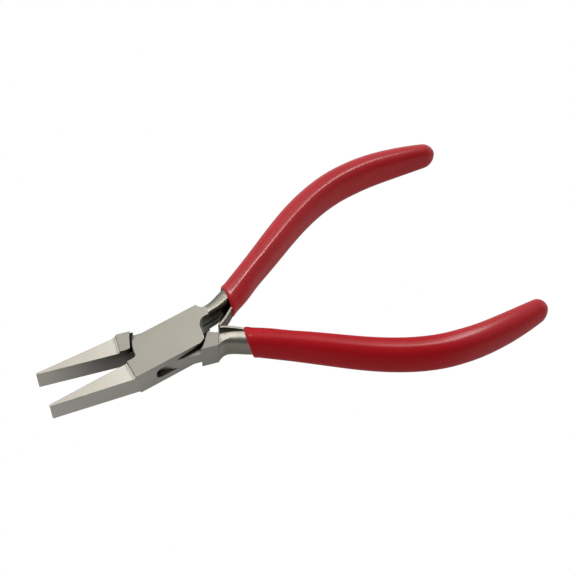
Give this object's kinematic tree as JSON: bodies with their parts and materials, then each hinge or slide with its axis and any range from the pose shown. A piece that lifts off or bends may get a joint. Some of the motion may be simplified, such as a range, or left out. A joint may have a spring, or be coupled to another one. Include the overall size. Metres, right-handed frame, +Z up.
{
  "type": "flat-nose jewellery pliers",
  "caption": "Small box-joint pliers with smooth tapering flat jaws, leaf springs between the necks and curved handles in glossy dipped plastic grips.",
  "frame": {"origin": "centre of the pivot on the lower ground face of the joint", "axes": "+Z up along the pivot, +X from the pivot along the bisector towards the handle ends so that the jaws point along -X, +Y towards the handle that belongs to the box half"},
  "size_m": [0.125, 0.0702, 0.0099],
  "materials": {
    "tool_steel": "fine satin, warm grey",
    "pin_steel": "ground flush with the joint",
    "spring_steel": "satin",
    "rivet_steel": "plain",
    "grip_plastic": "glossy dipped plastic, deep red"
  },
  "bodies": {
    "box_half": {"box_lever": "tool_steel", "pivot_pin": "pin_steel", "upper_grip": "grip_plastic", "upper_spring_rivet": "rivet_steel"},
    "tongue_half": {"tongue_lever": "tool_steel", "lower_grip": "grip_plastic", "lower_spring_rivet": "rivet_steel"},
    "upper_leaf": {"upper_leaf_spring": "spring_steel"},
    "lower_leaf": {"lower_leaf_spring": "spring_steel"}
  },
  "joints": [
    {"name": "jaw_pivot", "type": "hinge", "parent": "box_half", "child": "tongue_half", "pos_m": [0, 0, 0.00375], "axis": [0, 0, 1], "range_deg": [-3.5, 16.5], "stiffness_Nm_per_rad": 0.5},
    {"name": "upper_leaf_flex", "type": "hinge", "parent": "box_half", "child": "upper_leaf", "pos_m": [0.0269, 0.00975, 0.00375], "axis": [0, 0, 1], "range_deg": [-8.26, 1.76]},
    {"name": "lower_leaf_flex", "type": "hinge", "parent": "tongue_half", "child": "lower_leaf", "pos_m": [0.0269, -0.00975, 0.00375], "axis": [0, 0, 1], "range_deg": [-1.76, 8.26]}
  ],
  "couplings": [
    {"joint": "upper_leaf_flex", "follows": "jaw_pivot", "ratio": -0.5},
    {"joint": "lower_leaf_flex", "follows": "jaw_pivot", "ratio": 0.5}
  ]
}
